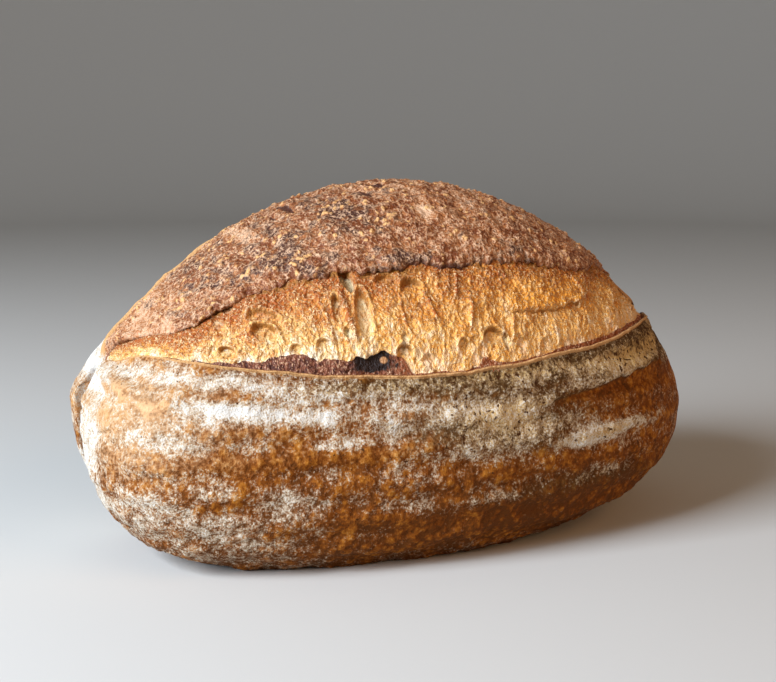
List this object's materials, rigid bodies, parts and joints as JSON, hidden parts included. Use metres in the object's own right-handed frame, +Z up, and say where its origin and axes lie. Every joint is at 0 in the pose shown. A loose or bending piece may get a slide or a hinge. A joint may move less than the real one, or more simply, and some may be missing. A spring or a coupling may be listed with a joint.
{
  "type": "sourdough loaf",
  "caption": "Whole oval white sourdough loaf, floured and browned, with a long score burst open along its front, to stand on a flat surface.",
  "frame": {"origin": "bottom centre of the bounding box, on the surface that the loaf stands on", "axes": "+X along the loaf to its pointed right end, -Y towards the scored front, +Z up"},
  "size_m": [0.2374, 0.1506, 0.1289],
  "materials": {
    "crust": "matt baked bread crust, dusted with flour"
  },
  "bodies": {
    "root": {"loaf": "crust"}
  },
  "joints": []
}
